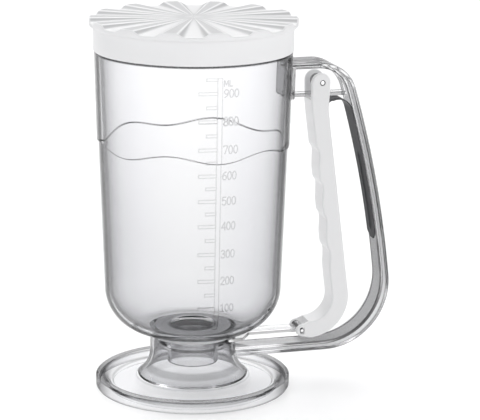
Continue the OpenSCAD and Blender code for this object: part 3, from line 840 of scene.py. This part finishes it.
def build_gate():
    outline = np.concatenate([
        arc((0, 0), GATE_R, 90, 270, 60),
        [(23.9, -GATE_R), (29.9, -ROD_HALF_W), (LINK[0], -ROD_HALF_W),
         (LINK[0], ROD_HALF_W), (29.9, ROD_HALF_W), (23.9, GATE_R)]])
    gate = slab("gate_blade", resample(outline, 3.0), GATE_T, 0.25, "gate", flat="XY",
                middle=LINK[1], steps=3, slot="clear_gate", replaces=["gate_slide"])
    boolean(gate, [barrel("eye", LINK, 2.6, 5.0, 0.3, 56)], "UNION")
    # two ribs along the rod leave a shallow channel between them
    channel = rounded_box((31, 55.8), (-3.6, 3.6), 1.2)
    recess = np.array([(AXIS_R, 27.45), (5.2, 27.45), (5.2, 27.65), (8.2, 27.65), (8.2, 27.5),
                       (11.2, 27.5), (11.2, 29.0), (AXIS_R, 29.0)])
    boolean(gate, [drill(LINK, LINK_PIN_R + 0.04, 8, 40),
                   slab("channel", channel, 1.2, 0.0, flat="XY", middle=28.2),
                   lathe("recess", recess, 96, None)], "DIFFERENCE")
    crease(gate, 34)
    # painted shade: the blade is darker where it lies under the outlet
    radius = [math.hypot(v.co.x, v.co.y) / MM for v in gate.data.vertices]
    set_mask(gate, "marks", [0.85 if r < 11.25 else 0.0 for r in radius])
    return gate


def build_nozzle():
    """The guide plate with its drip tube and the cheeks beside the gate."""
    low, high = 23.4, 25.9
    plate = rounded([(OUTLET_R, high, 0.25), (20.8, high, 0.2), (20.8, low, 0.4),
                     (OUTLET_R + 1.7, low, 0.6), (OUTLET_R + 1.7, 13.4, 0.4),
                     (OUTLET_R, 13.4, 0.4)])
    nozzle = lathe("drip_nozzle", resample(plate, 2.5), VALVE_SEGMENTS, "jar_body",
                   slot="nozzle_plastic", replaces=["outlet_nozzle"])
    cheek = rounded([(14.9, 0.0, 0), (20.78, 0.0, 0.2), (20.78, 4.5, 0.2), (14.9, 4.5, 0.2)])
    ring = lathe("cheeks", cheek + [0, low], VALVE_SEGMENTS, None)
    way = np.concatenate([arc((0, 0), 14.7, 90, 270, 40), [(30, -14.7), (30, 14.7)]])
    boolean(ring, [slab("way", way, 6.0, 0.0, flat="XY", middle=high + 3.0)], "DIFFERENCE")
    boolean(nozzle, [ring], "UNION")
    return crease(nozzle, 34)


def build_seal():
    """The seal ring, with a soft lip round the outlet."""
    ring = [(OUTLET_R, 28.0, 0.3), (20.7, 28.0, 0.3), (20.7, 31.45, 0.3), (17.0, 31.45, 0.4),
            (16.4, 30.9, 0.4), (14.6, 30.9, 0.4), (14.0, 31.45, 0.4), (OUTLET_R, 31.45, 0.2)]
    for z in (30.9, 29.9, 28.9):
        ring += [(OUTLET_R, z, 0.1), (OUTLET_R + 0.45, z - 0.15, 0.1),
                 (OUTLET_R + 0.45, z - 0.45, 0.1), (OUTLET_R, z - 0.6, 0.1)]
    ring = rounded(ring)
    seal = lathe("seal_ring", ring, VALVE_SEGMENTS, "jar_body", slot="seal_rubber",
                 replaces=["gate_seal"])
    # painted shade in the bore
    set_mask(seal, "bore", np.repeat(ring[:, 0] < OUTLET_R + 0.6, VALVE_SEGMENTS))
    return seal


# ---- stand

def build_stand():
    segments = 256
    outline = resample(rounded([
        (AXIS_R, 0.6, 0), (43.0, 0.6, 0.3), (43.6, 0.0, 0.2), (44.8, 0.0, 0.2),
        (45.4, 1.6, 0.6), (48.4, 4.9, 0.6), (50.4, 4.9, 0.5), (50.5, 0.0, 0.2), (51.4, 0.0, 0.4),
        (52.1, 1.2, 0.6), (52.1, 5.9, 0.7), (51.3, 6.6, 0.45), (47.8, 6.6, 0.7),
        (42.6, 2.6, 1.6), (31.6, 2.4, 1.4), (30.6, 5.9, 0.6), (29.9, 6.0, 0.2),
        (23.9, 6.0, 0.4), (23.5, 5.6, 0.3), (23.3, 2.4, 0.5), (AXIS_R, 2.4, 0)], 5), 0.5)
    r, z = outline.T
    stand = lathe("stand_dish", outline, segments, "stand", slot="clear_stand",
                  replaces=["drip_stand"])
    # painted shade: the rim takes the table with the deeper edge darkening
    set_mask(stand, "edges", np.repeat(smooth_ramp((r - 44.0) / 2.0), segments))
    # painted shade: darker bands round the rim, its underside and the seat ring
    marks = fade_round(r, z, (
        (51.7, 6.4, 0.75, 0.6), (48.0, 6.4, 0.8, 0.9), (43.2, 2.9, 0.45, 0.8),
        (50.6, 0.2, 0.3, 0.6), (51.8, 0.3, 0.4, 0.5), (48.6, 4.8, 0.5, 0.6),
        (49.6, 6.6, 0.42, 2.0), (30.5, 5.8, 0.3, 0.5)))
    set_mask(stand, "marks", np.repeat(marks, segments))
    return stand


# ---- lid

def flute_depth(r, phase):
    """Depth of the fluted top below its crests at radius r. The phase is 0 at
    a crest and 0.5 in a valley. The valley's floor and the crest are flat."""
    half = math.pi / FLUTES * r
    floor = 0.39 * half
    deep = max(0.0, (r - FLUTE_START_R) / (LID_R - FLUTE_START_R)) * FLUTE_DEPTH

    def soft_step(x, w):
        return 0.5 * (x + np.sqrt(x ** 2 + w ** 2))

    def fall(to_valley):
        out = soft_step(to_valley - floor, 0.5) - soft_step(-floor, 0.5)
        return soft_step(deep - 0.62 * out, 0.1 + 0.12 * deep)

    return fall((0.5 - np.abs(phase)) * 2 * half) - fall(half)


def build_lid():
    n = FLUTES * 44
    az = np.arange(n) * 360.0 / n - 15.0
    phase = ((az + 15.0) / (360.0 / FLUTES) + 0.5) % 1.0 - 0.5
    top_r = [AXIS_R, 1.5, 3.0, 4.5, 6.0, *np.linspace(7.5, 53.6, 44)]
    rows = [(r, LID_TOP_Z - flute_depth(r, phase)) for r in top_r]
    edge_z = LID_TOP_Z - flute_depth(LID_R - 0.3, phase) - 0.7
    for a in np.radians((20, 45, 70, 90)):
        rows.append((LID_R - 0.7 + 0.7 * math.sin(a), edge_z + 0.7 * math.cos(a)))
    rows.append((LID_R, (edge_z + LID_UNDER_Z + 0.4) / 2))
    for a in np.radians((0, 40, 90)):
        rows.append((LID_R - 0.35 + 0.35 * math.cos(a), LID_UNDER_Z + 0.35 - 0.35 * math.sin(a)))
    # under the brim, down and up the skirt, round the plug ring to the middle
    rows += list(np.concatenate([
        [(53.3, LID_UNDER_Z)],
        arc((52.5 + 0.35, LID_UNDER_Z - 0.35), 0.35, 90, 180, 3),
        ladder(52.5, (193.0, 189.0, 185.5)),
        arc((52.1, 183.5), 0.4, 0, -90, 4),
        arc((51.45, 183.42), 0.32, -90, -180, 3),
        ladder(51.1, (186.0, 190.0, 194.0)),
        arc((50.8, 194.5), 0.3, 0, 90, 3),
        [(49.9, 194.8)],
        arc((49.5, 194.5), 0.3, 90, 180, 3),
        ladder(49.15, (192.0, 189.0)),
        arc((48.75, 187.1), 0.4, 0, -90, 3),
        arc((48.1, 187.1), 0.4, -90, -180, 3),
        ladder(47.65, (190.0, 193.0)),
        arc((46.9, 195.8), 0.7, 0, 90, 4),
        shelf((40.0, 30.0, 20.0, 10.0, 3.0, AXIS_R), 196.5)]))
    r, z = (np.array([np.broadcast_to(row[i], n) for row in rows]) for i in (0, 1))
    lid = turned("lid_cap", r, z, np.radians(az), ring_grid(len(r), n), "lid_body",
                 slot="white_lid", replaces=["lid"])
    # painted shade: darker on the flanks than on the domed crests and low in the
    # valleys, and a little darker on the rest of the lid
    step = np.maximum(r, 1) * 2 * math.pi / n
    before, after = np.roll(z, 1, 1), np.roll(z, -1, 1)
    rise = np.abs(after - before) / (2 * step)
    bulge = (2 * z - after - before) / step ** 2
    low = (LID_TOP_Z - z) / FLUTE_DEPTH * 54.0 / np.maximum(r, 8)
    tone = 0.68 + 0.8 * rise - 1.8 * np.maximum(bulge, 0) - 0.62 * np.clip(low, 0, 1)
    flank_shade = np.full(r.shape, 0.17)
    flank_shade[:len(top_r)] = np.clip(tone, 0, 1)[:len(top_r)]
    set_mask(lid, "flank_shade", flank_shade)
    return lid


# ---- node groups

def feed(tree, node, inputs):
    """Sets a node's inputs to numbers or colours, or links them to outputs."""
    for label, value in inputs.items():
        socket = node.inputs[label]
        if isinstance(value, bpy.types.NodeSocket):
            tree.links.new(value, socket)
        else:
            socket.default_value = (*value, 1) if socket.type == "RGBA" else value
    return node


def add_node(tree, kind, inputs=None, **settings):
    node = tree.nodes.new("ShaderNode" + kind)
    for name, value in settings.items():
        setattr(node, name, value)
    return feed(tree, node, inputs or {})


def math_node(tree, operation, a, b):
    return add_node(tree, "Math", {0: a, 1: b}, operation=operation).outputs[0]


def scaled(tree, value, gain, offset):
    """value * gain + offset"""
    return math_node(tree, "ADD", math_node(tree, "MULTIPLY", value, gain), offset)


def map_range(tree, value, low, high, kind="LINEAR"):
    return add_node(tree, "MapRange", {"Value": value, "From Min": low, "From Max": high},
                    interpolation_type=kind).outputs[0]


def noise_node(tree, coords, scale, detail=2.0, rough=0.5):
    return add_node(tree, "TexNoise", {"Vector": coords, "Scale": scale, "Detail": detail,
                                       "Roughness": rough}).outputs["Fac"]


def object_coords(tree):
    return add_node(tree, "TexCoord").outputs["Object"]


def mask_of(tree, name):
    return add_node(tree, "Attribute", attribute_name=name).outputs["Fac"]


def new_group(name, **sockets):
    """A shader node group with the named float inputs and outputs."""
    group = bpy.data.node_groups.new(name, "ShaderNodeTree")
    for way, labels in sockets.items():
        for label in labels:
            group.interface.new_socket(label, in_out=way, socket_type="NodeSocketFloat")
    return group, group.nodes.new("NodeGroupInput"), group.nodes.new("NodeGroupOutput")


def drawn_out(tree, coords, scale, turn=(0, 0, 0)):
    return add_node(tree, "Mapping", {"Vector": coords, "Rotation": turn,
                                      "Scale": scale}).outputs[0]


def moulded_skin_group():
    """Fine grain and slow ripples of a moulded surface, as a height."""
    group, g_in, g_out = new_group("moulded skin", OUTPUT=["Height"], INPUT=[
        "Grain size", "Grain", "Ripple size", "Ripple"])
    coords = object_coords(group)
    grain = noise_node(group, coords, g_in.outputs["Grain size"], 3.0, 0.6)
    ripple = noise_node(group, coords, g_in.outputs["Ripple size"], 1.0, 0.4)
    ripple = math_node(group, "MULTIPLY", ripple, g_in.outputs["Ripple"])
    feed(group, g_out, {"Height": scaled(group, grain, g_in.outputs["Grain"], ripple)})
    return group


def handling_group():
    """Hairline marks of handling and washing, as a mask from 0 to 1, and a
    slow haze."""
    group, g_in, g_out = new_group("handling marks", INPUT=["Amount"], OUTPUT=["Mask", "Haze"])
    coords = object_coords(group)
    masks = []
    for turn, scale in (((0.2, 0.1, 0.5), (60, 60, 1100)), ((0.9, 0.3, -0.4), (900, 70, 60)),
                        ((-0.5, 1.1, 0.2), (70, 1000, 90))):
        lines = noise_node(group, drawn_out(group, coords, scale, turn), 1.0, 1.0)
        masks.append(map_range(group, lines, 0.66, 0.74))
    both = math_node(group, "MAXIMUM", math_node(group, "MAXIMUM", masks[0], masks[1]), masks[2])
    feed(group, g_out, {"Mask": math_node(group, "MULTIPLY", both, g_in.outputs["Amount"]),
                        "Haze": noise_node(group, coords, 28.0)})
    return group


SKIN = moulded_skin_group()
HANDLING = handling_group()


# ---- materials

def new_material(name):
    mat = bpy.data.materials.new(name)
    mat.use_nodes = True
    tree = mat.node_tree
    tree.nodes.clear()
    shader = add_node(tree, "BsdfPrincipled")
    add_node(tree, "OutputMaterial", {"Surface": shader.outputs[0]})
    return mat, tree, shader


def handling_marks(tree, amount):
    """The shared handling marks: their mask and their haze."""
    node = add_node(tree, "Group", {"Amount": amount}, node_tree=HANDLING)
    return node.outputs["Mask"], node.outputs["Haze"]


def colour_between(tree, fac, a, b, blend="MIX"):
    return add_node(tree, "Mix", {"A": a, "B": b, "Factor": fac}, data_type="RGBA",
                    blend_type=blend).outputs["Result"]


def add_bump(tree, shader, height, strength, distance):
    bump = add_node(tree, "Bump", {"Height": height, "Strength": strength, "Distance": distance})
    feed(tree, shader, {"Normal": bump.outputs[0]})


def add_skin(tree, shader, grain_size, grain, ripple_size, ripple, strength, distance):
    """Bumps from the shared moulded skin."""
    skin = add_node(tree, "Group", {"Grain size": grain_size, "Grain": grain,
                                    "Ripple size": ripple_size, "Ripple": ripple}, node_tree=SKIN)
    add_bump(tree, shader, skin.outputs["Height"], strength, distance)


def let_light_through(tree, shader):
    """Shadows of clear plastic are only faintly dark."""
    path = add_node(tree, "LightPath")
    clear = add_node(tree, "BsdfTransparent", {"Color": (0.955, 0.956, 0.958)})
    surface = shader.outputs[0]
    for ray in ("Is Shadow Ray", "Is Diffuse Ray"):
        surface = add_node(tree, "MixShader", {0: path.outputs[ray], 1: surface,
                                               2: clear.outputs[0]}).outputs[0]
    out = next(n for n in tree.nodes if n.type == "OUTPUT_MATERIAL")
    feed(tree, out, {"Surface": surface})


# tints of clear plastic, from 0 (facing) to 1 (grazing): the plastic's
# smoky tint, and painted shade that darkens it towards the edges
WALL_TINT_AND_SHADE = ((0.0, 1.0), (0.2, 0.95), (0.39, 0.88), (0.47, 0.8), (0.6, 0.64), (0.66, 0.5),
             (0.71, 0.04), (0.79, 0.02), (0.86, 0.16), (1.0, 0.1))
BAR_TINT_AND_SHADE = ((0.0, 1.0), (0.3, 0.93), (0.5, 0.8), (0.65, 0.5), (0.8, 0.2), (1.0, 0.08))
SOFT_TINT_AND_SHADE = ((0.0, 1.0), (0.2, 0.95), (0.39, 0.88), (0.47, 0.8), (0.6, 0.62), (0.68, 0.48),
             (0.75, 0.2), (0.88, 0.12), (1.0, 0.06))
PLAIN_TINT_AND_SHADE = ((0.0, 1.0), (0.8, 0.98), (1.0, 0.9))
GATE_TINT_AND_SHADE = ((0.0, 1.0), (0.7, 0.97), (0.86, 0.8), (1.0, 0.45))
# painted shade: this dark tone draws the marks masks' lines and the pins' grooves
PAINTED_SHADE_TONE = (0.02, 0.02, 0.021)         # the darker lines of the marks masks


def tint_and_shade_table(tree, value, table):
    ramp = add_node(tree, "ValToRGB", {0: value})
    stops = ramp.color_ramp.elements
    for stop, (at, level) in zip(stops, (table[0], table[-1])):
        stop.position, stop.color = at, (level, level, level, 1)
    for at, level in table[1:-1]:
        stops.new(at).color = (level, level, level * 1.01, 1)
    return ramp.outputs[0]


def clear_plastic(name, light, dark, table, ior, rough=0.02, ripple=0.5, fade=None,
                  marks=False, elsewhere=None):
    """Clear moulded plastic: a smoky tint with painted shade that deepens it at
    grazing angles as the table says, slow ripples, faint haze and hairline
    marks. fade is (low, high) in metres: the tint goes from light up there to
    dark below, which is painted shade."""
    mat, tree, shader = new_material(name)
    rubbed, haze = handling_marks(tree, 0.5)
    cloud = haze
    # painted shade: the tint darkens towards the bottom
    if fade:
        height = add_node(tree, "SeparateXYZ", {0: object_coords(tree)}).outputs["Z"]
        depth = map_range(tree, height, fade[1], fade[0], "SMOOTHSTEP")
        cloud = scaled(tree, haze, 0.15, math_node(tree, "MULTIPLY", depth, 0.85))
    facing = add_node(tree, "LayerWeight", {"Blend": 0.5}).outputs["Facing"]
    deep = tint_and_shade_table(tree, facing, table)
    if elsewhere:
        deep = colour_between(tree, mask_of(tree, "edges"),
                              tint_and_shade_table(tree, facing, elsewhere), deep)
    colour = colour_between(tree, 1.0, colour_between(tree, cloud, light, dark), deep, "MULTIPLY")
    level = scaled(tree, rubbed, 0.05, scaled(tree, haze, 0.02, rough))
    # painted shade: the marks mask draws dark lines and patches
    if marks:
        lines = mask_of(tree, "marks")
        colour = colour_between(tree, lines, colour, PAINTED_SHADE_TONE)
        level = scaled(tree, lines, 0.1, level)
    feed(tree, shader, {"Base Color": colour, "Roughness": level, "Metallic": 0.0,
                        "Transmission Weight": 1.0, "IOR": ior})
    add_skin(tree, shader, 1500.0, 0.02, 34.0, ripple, 0.25, 0.0006)
    let_light_through(tree, shader)
    return mat


def white_plastic(name, light, dark, painted_glow, mask=None, shade=None):
    """Glossy opaque moulding with a fine grain and rubbed patches. Where the
    mask is set it is a little rougher and its tone is the shade, which is
    painted shade. Its emission is painted light that lifts its shaded sides."""
    mat, tree, shader = new_material(name)
    rubbed, haze = handling_marks(tree, 0.8)
    colour = colour_between(tree, haze, light, dark)
    level = scaled(tree, haze, 0.12, 0.31)
    if mask:
        there = mask_of(tree, mask)
        colour = colour_between(tree, there, colour, shade)
        level = scaled(tree, there, 0.15, level)
    # painted light: the emission
    feed(tree, shader, {"Base Color": colour, "Roughness": scaled(tree, rubbed, 0.08, level),
                        "IOR": 1.5, "Emission Color": (1, 1, 1), "Emission Strength": painted_glow})
    add_skin(tree, shader, 1600.0, 0.35, 60.0, 0.5, 0.3, 0.0002)
    return mat


def metal(name, light, dark, grain_scale, grazing=1.0):
    """Polished steel with rolling marks along the strip and rubbed spots, with
    painted shade in its grooves."""
    mat, tree, shader = new_material(name)
    lines = noise_node(tree, drawn_out(tree, object_coords(tree), grain_scale), 1.0, 3.0, 0.6)
    rubbed, _ = handling_marks(tree, 1.0)
    colour = colour_between(tree, mask_of(tree, "groove"),
                            colour_between(tree, lines, light, dark), PAINTED_SHADE_TONE)
    level = scaled(tree, rubbed, 0.12, scaled(tree, lines, 0.12, 0.24))
    feed(tree, shader, {"Base Color": colour, "Roughness": level, "Metallic": 1.0,
                        "Specular Tint": (grazing, grazing, grazing)})
    add_bump(tree, shader, lines, 0.15, 0.00015)
    return mat


def rubber(name, light, dark, bore):
    """Soft translucent silicone whose bore, round the outlet, is darker: painted shade."""
    mat, tree, shader = new_material(name)
    _, haze = handling_marks(tree, 0.3)
    colour = colour_between(tree, mask_of(tree, "bore"),
                            colour_between(tree, haze, light, dark), bore)
    feed(tree, shader, {"Base Color": colour, "Roughness": scaled(tree, haze, 0.2, 0.4),
                        "Transmission Weight": 0.4, "IOR": 1.41})
    add_skin(tree, shader, 1200.0, 0.5, 50.0, 0.4, 0.3, 0.0003)
    return mat


def paper_white_floor():
    mat, tree, shader = new_material("floor_white")
    cloud = noise_node(tree, object_coords(tree), 1.3)
    colour = colour_between(tree, cloud, (0.93, 0.93, 0.93), (0.91, 0.91, 0.912))
    feed(tree, shader, {"Base Color": colour, "Roughness": scaled(tree, cloud, 0.06, 0.2),
                        "Specular IOR Level": 0.3, "Emission Color": (1, 1, 1),
                        "Emission Strength": 0.16})
    return mat


def finish_with(piece, mat):
    piece.data.materials.clear()
    piece.data.materials.append(mat)


# ---- build the pieces

jar = build_jar()
handle = build_handle()
lever = build_lever()
pivot_pin = build_pin("pivot_rivet", "pivot_pin", PIVOT, PIVOT_PIN_R, "lever")
link_pin = build_pin("link_rivet", "link_pin", LINK, LINK_PIN_R, "gate")
spring = build_spring()
gate = build_gate()
nozzle = build_nozzle()
seal = build_seal()
stand = build_stand()
lid = build_lid()

finish_with(jar, clear_plastic(
    "clear_jar_smoke", (0.98, 0.981, 0.983), (0.84, 0.842, 0.846), WALL_TINT_AND_SHADE, 1.12, ripple=0.3,
    fade=(0.02, 0.20), marks=True, elsewhere=SOFT_TINT_AND_SHADE))
finish_with(handle, clear_plastic(
    "clear_handle_plastic", (0.93, 0.932, 0.935), (0.88, 0.882, 0.886), BAR_TINT_AND_SHADE, 1.12,
    marks=True))
finish_with(stand, clear_plastic(
    "clear_stand_plastic", (0.985, 0.986, 0.988), (0.965, 0.967, 0.97), BAR_TINT_AND_SHADE, 1.03,
    marks=True, elsewhere=PLAIN_TINT_AND_SHADE))
finish_with(gate, clear_plastic(
    "clear_gate_plastic", (0.93, 0.93, 0.93), (0.88, 0.88, 0.882), GATE_TINT_AND_SHADE, 1.3, rough=0.04,
    marks=True))
finish_with(nozzle, clear_plastic(
    "nozzle_plastic_clear", (0.86, 0.86, 0.864), (0.80, 0.80, 0.804), GATE_TINT_AND_SHADE, 1.3, rough=0.08))
finish_with(lid, white_plastic(
    "lid_white", (0.77, 0.77, 0.775), (0.75, 0.752, 0.76), 0.05, "flank_shade", (0.32, 0.322, 0.33)))
# the lever's emission is painted light
finish_with(lever, white_plastic(
    "lever_white", (0.50, 0.50, 0.505), (0.487, 0.489, 0.495), 0.2))
finish_with(spring, metal(
    "spring_dark_steel", (0.04, 0.041, 0.045), (0.13, 0.131, 0.135), (420.0, 700.0, 14.0), 0.5))
pins = metal("pin_bright_steel", (0.86, 0.86, 0.865), (0.93, 0.93, 0.935), (300.0, 20.0, 300.0))
finish_with(pivot_pin, pins)
finish_with(link_pin, pins)
finish_with(seal, rubber(
    "seal_silicone", (0.92, 0.92, 0.925), (0.87, 0.87, 0.88), (0.20, 0.20, 0.204)))


# ---- floor, light, camera

def build_floor():
    n = 96
    turn = np.linspace(0, 2 * math.pi, n, endpoint=False)
    radii = (120, 400, 900, 1700, 2600)
    pts = [(0, 0, 0)] + [(r * math.cos(t), r * math.sin(t), 0) for r in radii for t in turn]
    faces = [(0, 1 + j, 1 + (j + 1) % n) for j in range(n)]
    for a in range(1, 1 + (len(radii) - 1) * n, n):
        b = a + n
        faces += [(a + j, b + j, b + (j + 1) % n, a + (j + 1) % n) for j in range(n)]
    floor = new_piece("floor", pts, faces, None)
    floor.location.z = -0.00005
    finish_with(floor, paper_white_floor())


def soft_light(name, at, aim, size, power):
    data = bpy.data.lights.new(name, "AREA")
    data.shape = "RECTANGLE"
    data.size, data.size_y = size
    data.energy = power
    light = bpy.data.objects.new(name, data)
    light.location = at
    light.rotation_euler = (Vector(aim) - Vector(at)).to_track_quat("-Z", "Y").to_euler()
    bpy.context.scene.collection.objects.link(light)


def sky():
    """A pale studio, brighter at the horizon than above."""
    world = bpy.data.worlds.new("studio")
    world.use_nodes = True
    tree = world.node_tree
    tree.nodes.clear()
    across = add_node(tree, "TexCoord").outputs["Generated"]
    height = add_node(tree, "SeparateXYZ", {0: across}).outputs["Z"]
    ramp = add_node(tree, "ValToRGB", {0: height})
    stops = ramp.color_ramp.elements
    stops[0].color, stops[1].color = (0.78, 0.78, 0.785, 1), (0.30, 0.30, 0.303, 1)
    stops.new(0.35).color = (0.50, 0.50, 0.504, 1)
    back = add_node(tree, "Background", {"Color": ramp.outputs[0]})
    add_node(tree, "OutputWorld", {"Surface": back.outputs[0]})
    bpy.context.scene.world = world


def camera():
    """The view from the front, a little to the left and from above."""
    pitch, yaw, roll, turn = deg(14.031), deg(1.2445), deg(0.495), deg(-15.0)
    ahead = Vector((math.sin(yaw) * math.cos(pitch), math.cos(yaw) * math.cos(pitch),
                    -math.sin(pitch)))
    right = Vector((math.cos(yaw), -math.sin(yaw), 0))
    up = right.cross(ahead)
    right, up = (right * math.cos(roll) + up * math.sin(roll),
                 up * math.cos(roll) - right * math.sin(roll))
    spin = Matrix.Rotation(turn, 3, "Z")
    axes = [spin @ right, spin @ up, spin @ -ahead]
    data = bpy.data.cameras.new("camera")
    data.sensor_width = 36.0
    focal, width = 2223.46, 480         # in pixels
    data.lens = focal / width * data.sensor_width
    data.clip_end = 20.0
    cam = bpy.data.objects.new("camera", data)
    matrix = Matrix(axes).transposed().to_4x4()
    matrix.translation = spin @ Vector((0, -1.1454, 0.3829))
    cam.matrix_world = matrix
    bpy.context.scene.collection.objects.link(cam)
    bpy.context.scene.camera = cam


build_floor()
sky()
soft_light("overhead", (0.0, 1.0, 1.7), (0.0, 0.2, 0.1), (2.4, 1.6), 21.0)
soft_light("far floor", (0.0, 2.3, 1.8), (0.0, 1.9, 0.0), (3.0, 1.6), 26.0)
soft_light("left box", (-1.25, -0.45, 0.65), (0.0, 0.0, 0.12), (0.5, 1.1), 4.5)
soft_light("right box", (1.2, -0.75, 0.65), (0.0, 0.0, 0.12), (0.5, 1.1), 3.5)
soft_light("front box", (0.7, -2.4, 1.0), (0.0, 0.0, 0.1), (3.0, 1.5), 22.0)
camera()

view = bpy.context.scene.view_settings
view.view_transform = "Standard"
view.look = "None"
